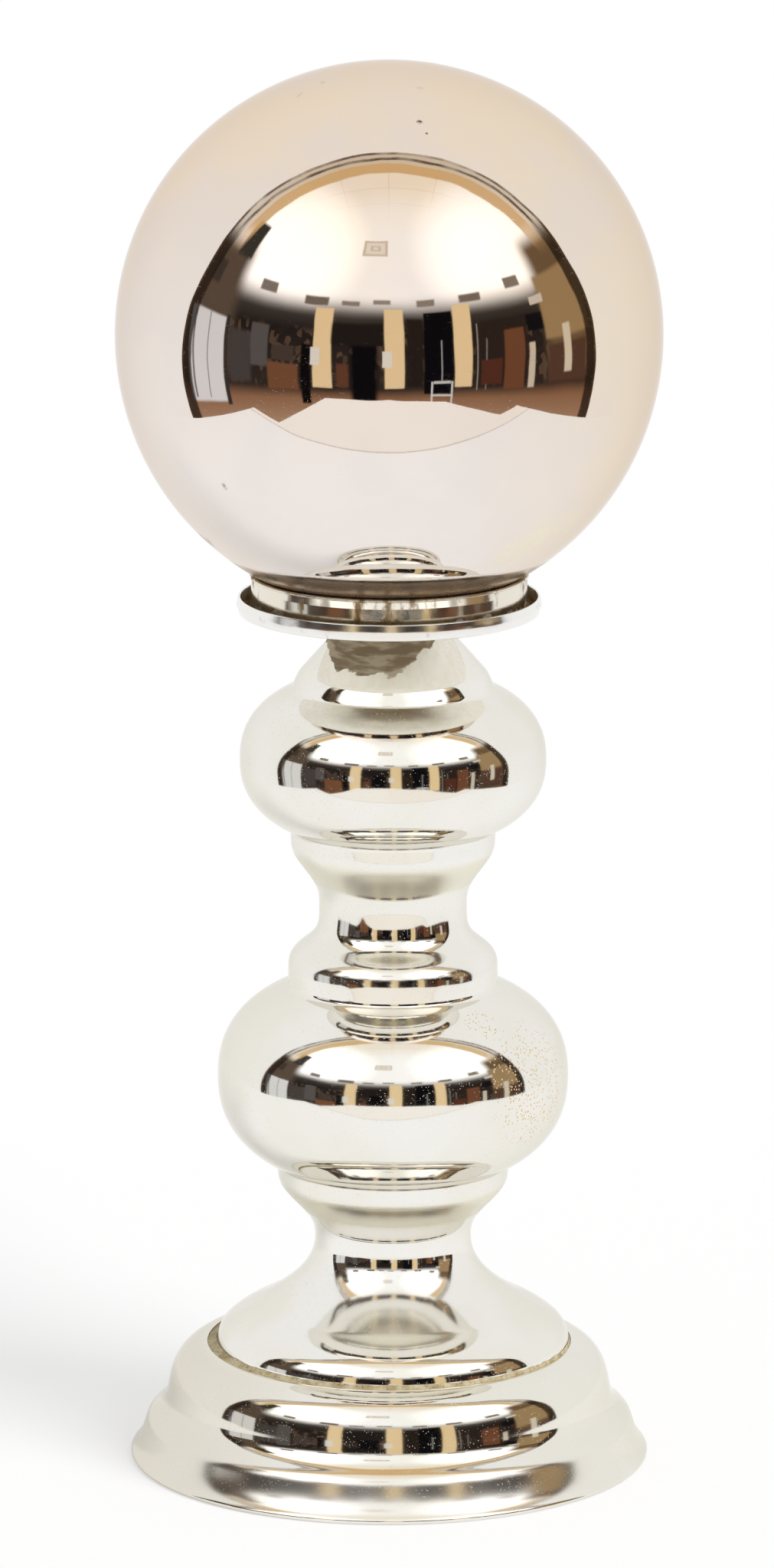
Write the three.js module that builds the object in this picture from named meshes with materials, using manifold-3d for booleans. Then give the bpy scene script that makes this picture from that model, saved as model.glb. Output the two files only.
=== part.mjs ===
// A witch ball: a mirrored, rose-tinted blown glass ball that rests in the plated collar of a silvered
// glass stand. The stand is a tall baluster stem set in putty on a two-tier bell foot.
// Millimetres, +Z up. The origin is on the floor, on the axis that the foot, the collar and the ball share.
import * as THREE from "three";
import { mergeVertices } from "three/addons/utils/BufferGeometryUtils.js";
import Module from "manifold-3d";

const wasm = await Module();
wasm.setup();

// Sizes that several pieces share
const GAP = 0.3; // left between pieces that touch
const OVERRUN = 5; // how far a cutter runs past what it cuts
const BULB_POWER = 2.35; // 2 is an ellipse, more is squarer
const OGEE_POWER = 1.2; // 1 is an even S, more stays longer at the neck
const DEGREE = Math.PI / 180;

// The foot: a bell below, a round-shouldered tier above, and a sunk ledge that carries the stem
const foot = {
  bellWidth: 17.7,
  rimHeight: 2.2,
  rimRound: 1.4,
  flankHeight: 13.2, // where the rim's flare ends and the bell's round flank begins
  flankOut: 11.7, // how far the flank stands out from the waist
  waistHeight: 32,
  tierWidth: 17.5,
  lipHeight: 54.5,
  lipWidth: 1.2,
  ledgeDepth: 3.4,
  wall: 3.5,
  holeRadius: 16,
  stopperLength: 16,
  stopperTaper: 0.8,
  stopperHeadRadius: 19,
  stopperHeadLength: 3,
};

// The stem: heights are those of each form, from the skirt upwards
const stem = {
  offset: 1.8, // it was set this far to the right of the foot's axis
  wall: 3,
  bedHeight: 3.6, // putty between the ledge and the skirt's edge
  puttyWidth: 2.7, // the mean width of the putty between the skirt and the foot's lip
  skirtOverhang: 0.9, // how much wider the skirt's edge is than the lower bulb
  skirtTaper: 2.1,
  skirtHeight: 7.3,
  shoulderHeight: 12,
  shoulderInnerRadius: 63.6,
  flareHeight: 32.5,
  lowerNeckRadius: 36.8,
  lowerRiseHeight: 30.5,
  lowerBandRadius: 54.3,
  lowerBandHeight: 5,
  lowerBulbRadius: 82.5,
  lowerBulbUnder: 42.5,
  lowerBulbOver: 44,
  upperBeadRadius: 49.2,
  upperBeadHeight: 7.5,
  upperDropHeight: 31.5,
  upperNeckRadius: 34.6,
  upperRiseHeight: 29.5,
  upperBandRadius: 48.1,
  upperBandHeight: 6.5,
  upperBandLean: 0.25, // how much narrower the band is at its foot
  upperBulbRadius: 71.7,
  upperBulbUnder: 33,
  upperBulbOver: 34,
  domeRadius: 47.2,
  beltHeight: 7.2, // the dome's lower belt, which bends inwards up to its cone
  beltLowSlope: 18 * DEGREE, // from upright
  beltHighSlope: 30 * DEGREE,
  coneSlope: 41.2 * DEGREE,
  mouthHeight: 2.3,
  cementWidth: 3.8, // between the tail tube and the mouth
};

// The collar: a shallow dish of polished metal with a tail tube, and the plated cup that stands in it
const collar = {
  troughWidth: 4.9, // between the cup and the dish's rim
  dishRimWall: 1.8,
  dishRimTaper: 0.8, // how much narrower the rim is at its foot
  dishRimHeight: 7.8,
  dishFloor: 1.6,
  rimRound: 0.9,
  neckClearance: 4, // between the ball's neck and the tail tube
  tubeWall: 1.4,
  tubeLength: 26,
  tubeFlangeWidth: 6,
  tubeFlange: 1.2,
  lift: 3.4, // from the stem's mouth to the dish
  cupWall: 1.6,
  cupBase: 1.5,
  cupBaseWidth: 8,
  cupBead: 0.7,
  puttyWidth: 2.6,
  puttyHeight: 3.4,
};

// The ball: blown a touch deeper below its middle, with the neck it was blown and silvered through
const ball = {
  radius: 127,
  lowerHeight: 128.7,
  seatAngle: 29.6 * DEGREE, // from the bottom of the ball to where the cup's rim meets it
  floorClearance: 0.4, // between the bottom of the ball and the dish
  wall: 2.6,
  neckRadius: 11.6,
  neckWall: 2.4,
  neckLength: 9,
  neckFillet: 1.5,
  stopperLength: 15,
  stopperHeadLength: 4,
  stopperTaper: 0.5,
  stopperClearance: 0.35,
};

// Slopes of the foot and the skirt, from upright
const RIM_SLOPE = 52 * DEGREE;
const FLANK_SLOPE = 19 * DEGREE;
const WAIST_SLOPE = 8.5 * DEGREE;
const LIP_SLOPE = 76 * DEGREE;
const SHOULDER_SLOPE = 66 * DEGREE;

// How far each curve follows the slope at its start and at its end, as shares of its span
const RIM_PULLS = [0.32, 0.28];
const FLANK_PULLS = [0.34, 0.54];
const TIER_PULLS = [0.44, 0.456];
const SHOULDER_PULLS = [0.18, 0.42];

const SKIRT_POWER = 1.9; // 1 is an even taper, more stays longer upright at the skirt's edge
const FLARE_POWER = 2.15; // more stays longer at the neck
const DROP_POWER = 2.5; // 1 is an even slope below the upper neck, more is steeper at the middle
const DROP_LEAN = 1.3; // more brings the steep middle nearer to the bead

const STEM_SECTIONS = ["stem_skirt", "stem_lower_bulb", "stem_upper_bulb"];
const BALL_SECTIONS = ["ball_neck", "ball_shell"];

// How finely each form is drawn
const FINE_TURNS = 44;
const STEM_TURNS = 36;
const SMALL_TURNS = 24;
const NECK_STEPS = 5;
const DROP_STEPS = 7;
const SKIRT_STEPS = 3;
const SHOULDER_STEPS = 6;
const RIM_STEPS = 4;
const FLANK_STEPS = 8;
const TIER_STEPS = 8;
const LOWER_BULB_STEPS = 11;
const UPPER_BULB_STEPS = 10;
const BELT_STEPS = 3;
const BALL_STEPS = 22;
const BALL_INSIDE_STEPS = 10;

const silvered = new THREE.MeshStandardMaterial({ color: "#e8e5d8", metalness: 1, roughness: 0.06 });
const rose = new THREE.MeshStandardMaterial({ color: "#e2cbb9", metalness: 1, roughness: 0.03 });
const polished = new THREE.MeshStandardMaterial({ color: "#dcdee0", metalness: 1, roughness: 0.12 });
const tarnished = new THREE.MeshStandardMaterial({ color: "#b9b3a3", metalness: 1, roughness: 0.25 });
const putty = new THREE.MeshStandardMaterial({ color: "#a8946c", metalness: 0, roughness: 0.9 });
const cement = new THREE.MeshStandardMaterial({ color: "#8f8672", metalness: 0, roughness: 0.95 });
const cork = new THREE.MeshStandardMaterial({ color: "#9a7550", metalness: 0, roughness: 0.9 });

const group = new THREE.Group();
group.name = "witch_ball";

// A point of an outline: radius, then height
const at = (radius, height) => new THREE.Vector2(radius, height);

// A closed solid turned about the Z axis through x = offset; the outline starts and ends on the axis
function turned(outline, turns, offset = 0) {
  const first = outline[0].x === 0 ? [] : [at(0, outline[0].y)];
  const last = outline.at(-1).x === 0 ? [] : [at(0, outline.at(-1).y)];
  const lathe = new THREE.LatheGeometry([...first, ...outline, ...last], turns);
  lathe.rotateX(Math.PI / 2);
  lathe.translate(offset, 0, 0);
  lathe.deleteAttribute("normal");
  lathe.deleteAttribute("uv");
  const merged = mergeVertices(lathe);
  const vertProperties = merged.attributes.position.array;
  const triVerts = new Uint32Array(merged.index.array);
  return new wasm.Manifold(new wasm.Mesh({ numProp: 3, vertProperties, triVerts }));
}

function add(name, solid, material) {
  const { vertProperties, triVerts } = solid.getMesh();
  const geometry = new THREE.BufferGeometry();
  geometry.setAttribute("position", new THREE.BufferAttribute(new Float32Array(vertProperties), 3));
  geometry.setIndex(new THREE.BufferAttribute(new Uint32Array(triVerts), 1));
  geometry.computeVertexNormals();
  const mesh = new THREE.Mesh(geometry, material);
  mesh.name = name;
  group.add(mesh);
}

// Values from 0 to 1 in equal steps, without the first
const steps = (count) => Array.from({ length: count }, (_, i) => (i + 1) / count);

// An S-shaped run from one radius to another, slow at the start
function ogee(fromRadius, toRadius, fromHeight, toHeight, count) {
  return steps(count).map((t) => {
    const swing = (1 - Math.cos(Math.PI * t ** OGEE_POWER)) / 2;
    return at(fromRadius + (toRadius - fromRadius) * swing, fromHeight + (toHeight - fromHeight) * t);
  });
}

// A curve that leaves one point and reaches another at given slopes from upright, without the first point
function swept(from, to, slopes, pulls, count) {
  const span = from.distanceTo(to);
  const [leaving, reaching] = slopes.map((slope, i) =>
    at(-Math.sin(slope), Math.cos(slope)).multiplyScalar(pulls[i] * span),
  );
  const curve = new THREE.CubicBezierCurve(from, from.clone().add(leaving), to.clone().sub(reaching), to);
  return curve.getPoints(count).slice(1);
}

// Half the height at which a bulb of this radius would close, from its radius at one cut
const bulbReach = (radius, cutRadius, cutHeight) =>
  cutHeight / (1 - (cutRadius / radius) ** BULB_POWER) ** (1 / BULB_POWER);

// A bulb's outline from its lower crease to its upper one
function bulb(radius, lowRadius, highRadius, middle, under, over, count) {
  const reachUnder = bulbReach(radius, lowRadius, under);
  const reachOver = bulbReach(radius, highRadius, over);
  const lowAngle = Math.asin(under / reachUnder);
  const highAngle = Math.asin(over / reachOver);
  return [0, ...steps(count)].map((t) => {
    const angle = -lowAngle + (lowAngle + highAngle) * t;
    const reach = angle < 0 ? reachUnder : reachOver;
    const rise = reach * Math.sin(angle);
    const share = Math.abs(rise / reach) ** BULB_POWER;
    return at(radius * (1 - share) ** (1 / BULB_POWER), middle + rise);
  });
}

// An outline moved inwards by a wall, along the normals of its points
function inset(outline, wall) {
  return outline.map((p, i) => {
    const before = outline[Math.max(i - 1, 0)];
    const after = outline[Math.min(i + 1, outline.length - 1)];
    const along = after.clone().sub(before).normalize();
    return at(p.x - along.y * wall, p.y + along.x * wall);
  });
}

// An outline for the side of a wall that doesn't show: bulging stretches keep every second point
function thinned(outline) {
  const kept = (p, i) => {
    const before = outline[i - 1];
    const after = outline[i + 1];
    if (!before || !after || i % 2 === 0) {
      return true;
    }
    return p.clone().sub(before).cross(after.clone().sub(p)) <= 0;
  };
  return outline.filter(kept);
}

// Radii that follow from the ball, which sets the cup, and from the skirt, which sets the foot

const seatRadius = ball.radius * Math.sin(ball.seatAngle);
const seatDrop = ball.lowerHeight * Math.cos(ball.seatAngle);
const cupRadius = seatRadius + collar.cupWall;
const dishRadius = cupRadius + collar.troughWidth + collar.dishRimWall;
const tubeBore = ball.neckRadius + collar.neckClearance;
const tubeRadius = tubeBore + collar.tubeWall;
const flangeRadius = tubeRadius + collar.tubeFlangeWidth;
const mouthRadius = tubeRadius + stem.cementWidth + stem.wall;
const skirtRadius = stem.lowerBulbRadius + stem.skirtOverhang;
const upperBandFoot = stem.upperBandRadius - stem.upperBandLean;
const ledgeRadius = skirtRadius + stem.puttyWidth;
const lipRadius = ledgeRadius + foot.lipWidth;
const waistRadius = lipRadius + foot.tierWidth;
const rimRadius = waistRadius + foot.bellWidth;

// Foot

const ledgeTop = foot.lipHeight - foot.ledgeDepth;

function footOutline() {
  const rim = at(rimRadius, foot.rimHeight);
  const flank = at(waistRadius + foot.flankOut, foot.flankHeight);
  const waist = at(waistRadius, foot.waistHeight);
  const lip = at(lipRadius, foot.lipHeight);
  return [
    at(rimRadius - foot.rimRound, 0),
    at(rimRadius, foot.rimRound),
    rim,
    ...swept(rim, flank, [RIM_SLOPE, FLANK_SLOPE], RIM_PULLS, RIM_STEPS),
    ...swept(flank, waist, [FLANK_SLOPE, WAIST_SLOPE], FLANK_PULLS, FLANK_STEPS),
    ...swept(waist, lip, [WAIST_SLOPE, LIP_SLOPE], TIER_PULLS, TIER_STEPS),
  ];
}

function makeFoot() {
  const outer = footOutline();
  const solid = turned([...outer, at(ledgeRadius, foot.lipHeight), at(ledgeRadius, ledgeTop)], FINE_TURNS);
  const inside = thinned(inset(outer, foot.wall)).filter((p) => p.y > foot.rimRound);
  const roof = ledgeTop - foot.wall;
  const hollow = inside.filter((p) => p.y < roof);
  const mouth = at(hollow[0].x, -OVERRUN);
  const bell = turned([mouth, ...hollow, at(ledgeRadius - foot.wall, roof)], FINE_TURNS);
  const hole = turned([at(foot.holeRadius, 0), at(foot.holeRadius, foot.lipHeight)], FINE_TURNS);
  add("foot_shell", solid.subtract(bell).subtract(hole), silvered);
}

function makeFootStopper() {
  const top = ledgeTop + GAP;
  const seat = ledgeTop - foot.wall - GAP;
  const body = foot.holeRadius - GAP;
  const outline = [
    at(body - foot.stopperTaper, seat - foot.stopperHeadLength - foot.stopperLength / 2),
    at(foot.stopperHeadRadius, seat - foot.stopperHeadLength),
    at(foot.stopperHeadRadius, seat),
    at(body, seat),
    at(body, top),
  ];
  add("foot_stopper", turned(outline, SMALL_TURNS), cork);
}

// Stem

const skirtBottom = ledgeTop + stem.bedHeight;
const skirtTop = skirtBottom + stem.skirtHeight;
const shoulderTop = skirtTop + stem.shoulderHeight;
const lowerNeck = shoulderTop + stem.flareHeight;
const lowerBand = lowerNeck + stem.lowerRiseHeight;
const lowerCrease = lowerBand + stem.lowerBandHeight;
const lowerMiddle = lowerCrease + stem.lowerBulbUnder;
const lowerTop = lowerMiddle + stem.lowerBulbOver;
const upperBead = lowerTop + stem.upperBeadHeight;
const upperNeck = upperBead + stem.upperDropHeight;
const upperBand = upperNeck + stem.upperRiseHeight;
const upperCrease = upperBand + stem.upperBandHeight;
const upperMiddle = upperCrease + stem.upperBulbUnder;
const upperTop = upperMiddle + stem.upperBulbOver;
const beltBend = stem.beltHeight / (Math.sin(stem.beltHighSlope) - Math.sin(stem.beltLowSlope));
const beltTop = beltPoint(stem.beltHighSlope);
const domeTop = beltTop.y + (beltTop.x - mouthRadius) / Math.tan(stem.coneSlope);
const mouthTop = domeTop + stem.mouthHeight;

// The trumpet below the lower neck, from the skirt's edge up
function skirtOutline() {
  const edge = [0, ...steps(SKIRT_STEPS)].map((t) =>
    at(skirtRadius - stem.skirtTaper * t ** SKIRT_POWER, skirtBottom + stem.skirtHeight * t),
  );
  const slope = Math.atan((SKIRT_POWER * stem.skirtTaper) / stem.skirtHeight);
  const shoulder = at(stem.shoulderInnerRadius, shoulderTop);
  const grow = stem.shoulderInnerRadius - stem.lowerNeckRadius;
  const flare = steps(NECK_STEPS).map((t) =>
    at(stem.lowerNeckRadius + grow * (1 - t) ** FLARE_POWER, shoulderTop + stem.flareHeight * t),
  );
  return [
    ...edge,
    ...swept(edge.at(-1), shoulder, [slope, SHOULDER_SLOPE], SHOULDER_PULLS, SHOULDER_STEPS),
    ...flare,
  ];
}

// The drop from the upper neck to the bead below it, from the bead up
function dropOutline() {
  const grow = stem.upperBeadRadius - stem.upperNeckRadius;
  const drop = steps(DROP_STEPS).map((t) => {
    const near = (t ** DROP_LEAN) ** DROP_POWER;
    const far = (1 - t ** DROP_LEAN) ** DROP_POWER;
    return at(stem.upperNeckRadius + (grow * near) / (near + far), upperNeck - stem.upperDropHeight * t);
  });
  return drop.reverse();
}

// The point of the dome's belt that has a given slope
function beltPoint(slope) {
  const inwards = beltBend * (Math.cos(stem.beltLowSlope) - Math.cos(slope));
  return at(stem.domeRadius - inwards, upperTop + beltBend * (Math.sin(slope) - Math.sin(stem.beltLowSlope)));
}

// The belt, cone and mouth above the upper bulb
function domeOutline() {
  const bend = stem.beltHighSlope - stem.beltLowSlope;
  const belt = steps(BELT_STEPS).map((t) => beltPoint(stem.beltLowSlope + bend * t));
  return [...belt, at(mouthRadius, domeTop), at(mouthRadius, mouthTop)];
}

function stemOutline() {
  return [
    ...skirtOutline(),
    ...ogee(stem.lowerNeckRadius, stem.lowerBandRadius, lowerNeck, lowerBand, NECK_STEPS),
    ...bulb(
      stem.lowerBulbRadius,
      stem.lowerBandRadius,
      stem.upperBeadRadius,
      lowerMiddle,
      stem.lowerBulbUnder,
      stem.lowerBulbOver,
      LOWER_BULB_STEPS,
    ),
    ...dropOutline(),
    at(stem.upperNeckRadius, upperNeck),
    ...ogee(stem.upperNeckRadius, upperBandFoot, upperNeck, upperBand, NECK_STEPS),
    ...bulb(
      stem.upperBulbRadius,
      stem.upperBandRadius,
      stem.domeRadius,
      upperMiddle,
      stem.upperBulbUnder,
      stem.upperBulbOver,
      UPPER_BULB_STEPS,
    ),
    ...domeOutline(),
  ];
}

// Adds a shell as sections that meet at level cuts; the first and last heights lie past its ends
function addSections(names, shell, cuts, cutterRadius, material) {
  names.forEach((name, i) => {
    const slab = [at(cutterRadius, cuts[i] + GAP / 2), at(cutterRadius, cuts[i + 1] - GAP / 2)];
    add(name, shell.intersect(turned(slab, SMALL_TURNS)), material);
  });
}

// The stem, in three sections that meet at its two necks
function makeStem() {
  const outer = stemOutline();
  const inner = thinned(inset(outer, stem.wall));
  const inside = [
    at(inner[0].x, skirtBottom - OVERRUN),
    ...inner.slice(1, -1),
    at(mouthRadius - stem.wall, mouthTop + OVERRUN),
  ];
  const solid = turned(outer, STEM_TURNS, stem.offset);
  const shell = solid.subtract(turned(inside, STEM_TURNS, stem.offset));
  const cuts = [skirtBottom - OVERRUN, lowerNeck, upperNeck, mouthTop + OVERRUN];
  addSections(STEM_SECTIONS, shell, cuts, 2 * skirtRadius, silvered);
}

// Putty fills the ring between the foot's lip and the off-centre skirt, and beds the skirt's edge
function makeStemPutty() {
  const bedInner = skirtRadius - foot.lipWidth - 2 * stem.wall;
  const top = foot.lipHeight + stem.bedHeight / 2;
  const fill = turned(
    [
      at(ledgeRadius - GAP, ledgeTop + GAP),
      at(ledgeRadius - GAP, foot.lipHeight - GAP),
      at(skirtRadius - stem.offset, top),
    ],
    FINE_TURNS,
  );
  const bore = [at(bedInner, 0), at(bedInner, top + OVERRUN)];
  const skirt = [at(skirtRadius + GAP, skirtBottom - GAP), at(skirtRadius + GAP, skirtBottom + OVERRUN)];
  const solid = fill
    .subtract(turned(bore, SMALL_TURNS, stem.offset))
    .subtract(turned(skirt, FINE_TURNS, stem.offset));
  add("stem_putty", solid, putty);
}

// Collar

const dishBottom = mouthTop + collar.lift;
const dishFloorTop = dishBottom + collar.dishFloor;
const dishTop = dishBottom + collar.dishRimHeight;
const flangeTop = dishBottom - GAP;
const flangeBottom = flangeTop - collar.tubeFlange;
const tubeBottom = dishBottom - collar.tubeLength;
const cupBottom = dishFloorTop + GAP;
const ballBottom = dishFloorTop + ball.floorClearance;
const ballMiddle = ballBottom + ball.lowerHeight;
const cupTop = ballMiddle - seatDrop - GAP;

function makeDish() {
  const inner = dishRadius - collar.dishRimWall;
  const outline = [
    at(dishRadius - collar.dishRimTaper - collar.rimRound, dishBottom),
    at(dishRadius - collar.dishRimTaper, dishBottom + collar.rimRound),
    at(dishRadius, dishTop - collar.rimRound),
    at(dishRadius - collar.dishRimWall / 2, dishTop),
    at(inner, dishTop - collar.rimRound),
    at(inner, dishFloorTop),
  ];
  const bore = [at(tubeBore, dishBottom - OVERRUN), at(tubeBore, dishTop + OVERRUN)];
  add("collar_dish", turned(outline, FINE_TURNS).subtract(turned(bore, SMALL_TURNS)), polished);
}

// The tail tube is soldered by its flange under the dish and reaches down into the stem's mouth
function makeTube() {
  const outline = [
    at(tubeRadius, tubeBottom),
    at(tubeRadius, flangeBottom),
    at(flangeRadius, flangeBottom),
    at(flangeRadius, flangeTop),
  ];
  const bore = [at(tubeBore, tubeBottom - OVERRUN), at(tubeBore, flangeTop + OVERRUN)];
  add("collar_tube", turned(outline, SMALL_TURNS).subtract(turned(bore, SMALL_TURNS)), tarnished);
}

// Cement fills the mouth around the tail tube, and stands a little proud of it
function makeMouthCement() {
  const radius = mouthRadius - stem.wall - GAP;
  const bottom = domeTop - stem.wall;
  const outline = [
    at(radius, bottom),
    at(radius, mouthTop + GAP),
    at(mouthRadius, mouthTop + GAP),
    at(mouthRadius, flangeBottom - GAP),
  ];
  const hole = tubeRadius + GAP;
  const bore = [at(hole, bottom - OVERRUN), at(hole, dishBottom + OVERRUN)];
  const solid = turned(outline, SMALL_TURNS, stem.offset).subtract(turned(bore, SMALL_TURNS));
  add("mouth_cement", solid, cement);
}

function makeCup() {
  const inner = cupRadius - collar.cupWall;
  const outline = [
    at(cupRadius, cupBottom),
    at(cupRadius, cupTop - 2 * collar.cupBead),
    at(cupRadius + collar.cupBead, cupTop - collar.cupBead),
    at(cupRadius, cupTop),
    at(inner, cupTop),
    at(inner, cupBottom + collar.cupBase),
  ];
  const hole = inner - collar.cupBaseWidth;
  const bore = [at(hole, cupBottom - OVERRUN), at(hole, cupTop + OVERRUN)];
  add("collar_cup", turned(outline, FINE_TURNS).subtract(turned(bore, FINE_TURNS)), tarnished);
}

// The fillet of old putty that holds the cup in the dish
function makeCupPutty() {
  const inner = cupRadius + GAP;
  const bottom = dishFloorTop + GAP;
  const outline = [
    at(inner + collar.puttyWidth, bottom),
    at(inner + collar.puttyWidth / 2, bottom + collar.puttyHeight / 2),
    at(inner, bottom + collar.puttyHeight),
  ];
  const bore = [at(inner, bottom - OVERRUN), at(inner, dishTop + OVERRUN)];
  add("cup_putty", turned(outline, FINE_TURNS).subtract(turned(bore, FINE_TURNS)), putty);
}

// Ball

const neckBottom = ballBottom - ball.neckLength;

// A sphere-like outline with a neck, drawn inwards by a wall
function ballOutline(wall, neckWall, low, count) {
  const radius = ball.radius - wall;
  const under = ball.lowerHeight - wall;
  const neck = ball.neckRadius - neckWall;
  const start = Math.acos((neck + ball.neckFillet) / radius);
  const lower = [0, ...steps(count / 2)].map((t) => start * (t - 1));
  const upper = steps(count / 2).map((t) => (Math.PI / 2) * t);
  const round = [...lower, ...upper].map((angle) => {
    const height = Math.sin(angle) * (angle < 0 ? under : radius);
    return at(radius * Math.cos(angle), ballMiddle + height);
  });
  round[round.length - 1].x = 0;
  return [at(neck, low), at(neck, round[0].y - ball.neckFillet), ...round];
}

// The ball, in two sections that meet where the neck's fillet ends
function makeBall() {
  const outline = ballOutline(0, 0, neckBottom, BALL_STEPS);
  const inside = ballOutline(ball.wall, ball.neckWall, neckBottom - OVERRUN, BALL_INSIDE_STEPS);
  const shell = turned(outline, FINE_TURNS).subtract(turned(inside, FINE_TURNS));
  const neckTop = outline[2].y;
  const cuts = [neckBottom - OVERRUN, neckTop, ballMiddle + ball.radius + OVERRUN];
  addSections(BALL_SECTIONS, shell, cuts, 2 * ball.radius, rose);
}

function makeNeckStopper() {
  const bore = ball.neckRadius - ball.neckWall;
  const radius = bore - ball.stopperClearance;
  const head = neckBottom - GAP;
  const outline = [
    at(ball.neckRadius - ball.stopperTaper, head - ball.stopperHeadLength),
    at(ball.neckRadius, head),
    at(radius, head),
    at(radius - ball.stopperTaper, head + ball.stopperLength),
  ];
  add("neck_stopper", turned(outline, SMALL_TURNS), cork);
}

makeFoot();
makeFootStopper();
makeStem();
makeStemPutty();
makeDish();
makeTube();
makeMouthCement();
makeCup();
makeCupPutty();
makeBall();
makeNeckStopper();

export default group;
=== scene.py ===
"""The looks of a witch ball: a rose-tinted silvered glass ball on a silvered glass stand."""
import math

import bpy
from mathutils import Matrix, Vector, noise


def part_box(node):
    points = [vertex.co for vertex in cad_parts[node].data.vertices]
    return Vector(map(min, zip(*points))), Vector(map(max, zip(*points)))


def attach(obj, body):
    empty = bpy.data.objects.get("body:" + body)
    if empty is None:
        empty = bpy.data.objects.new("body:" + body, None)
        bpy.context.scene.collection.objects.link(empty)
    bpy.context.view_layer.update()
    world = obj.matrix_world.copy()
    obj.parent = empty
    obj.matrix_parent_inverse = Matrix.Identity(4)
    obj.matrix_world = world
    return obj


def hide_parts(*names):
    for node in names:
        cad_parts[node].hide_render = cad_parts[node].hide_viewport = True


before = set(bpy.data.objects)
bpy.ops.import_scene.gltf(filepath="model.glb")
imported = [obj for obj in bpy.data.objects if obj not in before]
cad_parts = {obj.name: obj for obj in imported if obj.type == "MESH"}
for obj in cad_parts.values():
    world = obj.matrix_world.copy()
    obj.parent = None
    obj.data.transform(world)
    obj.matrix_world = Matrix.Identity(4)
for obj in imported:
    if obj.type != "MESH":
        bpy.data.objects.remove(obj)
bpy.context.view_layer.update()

MM = 0.001  # the frame is in metres, and the sizes below are in millimetres
TURNS = 192
ROW_STEP = 0.9 * MM  # between rows of a turned piece
CREASE_ROUND = 1.1 * MM  # how far a crease is eased by the blowing

# Camera

CAMERA_DISTANCE = 4.29
CAMERA_HEIGHT = 1.283
CAMERA_LEFT = -0.001
CAMERA_PITCH = 12.6
PHOTO_HEIGHT_PX = 2048
FOCAL_PX = 12278
SENSOR = 36.0


def make_camera():
    data = bpy.data.cameras.new("camera")
    data.sensor_width = SENSOR
    data.lens = SENSOR * FOCAL_PX / PHOTO_HEIGHT_PX
    data.clip_end = 50
    camera = bpy.data.objects.new("camera", data)
    camera.location = (CAMERA_LEFT, -CAMERA_DISTANCE, CAMERA_HEIGHT)
    camera.rotation_euler = (math.radians(90 - CAMERA_PITCH), 0, 0)
    bpy.context.scene.collection.objects.link(camera)
    bpy.context.scene.camera = camera


# Node helpers


class Shader:
    """A material's or world's node tree, with one call for each node."""

    def __init__(self, owner):
        owner.use_nodes = True
        self.tree = owner.node_tree
        self.tree.nodes.clear()

    def add(self, kind, inputs=None, **settings):
        node = self.tree.nodes.new(kind)
        for name, value in settings.items():
            setattr(node, name, value)
        for name, value in (inputs or {}).items():
            self.put(value, node.inputs[name])
        return node

    def put(self, value, socket):
        if isinstance(value, bpy.types.NodeSocket):
            self.tree.links.new(value, socket)
        else:
            socket.default_value = value

    def math(self, operation, *values):
        node = self.add("ShaderNodeMath", operation=operation)
        for value, socket in zip(values, node.inputs):
            self.put(value, socket)
        return node.outputs[0]

    def ease(self, value, low, high, start=0.0, end=1.0):
        """A smooth step: start below low, end above high."""
        node = self.add(
            "ShaderNodeMapRange",
            {"Value": value, "From Min": low, "From Max": high, "To Min": start, "To Max": end},
            interpolation_type="SMOOTHSTEP",
        )
        return node.outputs["Result"]

    def within(self, value, low, high, soft):
        rise = self.ease(value, low - soft, low + soft)
        fall = self.ease(value, high - soft, high + soft, 1.0, 0.0)
        return self.math("MULTIPLY", rise, fall)

    def mix(self, share, first, second):
        node = self.add("ShaderNodeMix", data_type="RGBA")
        for value, index in ((share, 0), (first, 6), (second, 7)):
            self.put(value, node.inputs[index])
        return node.outputs[2]

    def noise(self, vector, scale, detail=2.0, roughness=0.5):
        node = self.add(
            "ShaderNodeTexNoise",
            {"Vector": vector, "Scale": scale, "Detail": detail, "Roughness": roughness},
        )
        return node.outputs["Fac"]

    def dots(self, vector, scale, size):
        """1 inside small round dots, one to a cell, and 0 elsewhere."""
        node = self.add("ShaderNodeTexVoronoi", {"Vector": vector, "Scale": scale})
        return self.ease(node.outputs["Distance"], size * 0.6, size, 1.0, 0.0)

    def stretched(self, vector, scales):
        return self.add("ShaderNodeMapping", {"Vector": vector, "Scale": scales}).outputs[0]

    def split(self, vector):
        return self.add("ShaderNodeSeparateXYZ", {"Vector": vector}).outputs

    def position(self):
        return self.add("ShaderNodeTexCoord").outputs["Object"]


def srgb(red, green, blue, alpha=1.0):
    """A colour as it looks on screen, from 0 to 255, in the linear values that Blender takes."""
    def linear(value):
        value /= 255
        return value / 12.92 if value <= 0.04045 else ((value + 0.055) / 1.055) ** 2.4

    return (linear(red), linear(green), linear(blue), alpha)


def new_material(name):
    material = bpy.data.materials.new(name)
    return material, Shader(material)


# Marks, where the photograph shows them

BALL_PX = (508, 437)  # the ball's middle in the photograph
BALL_RADIUS_PX = 359
BALL_SEEN_FROM = math.radians(9.9)  # how far above the ball's middle the camera is
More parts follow.
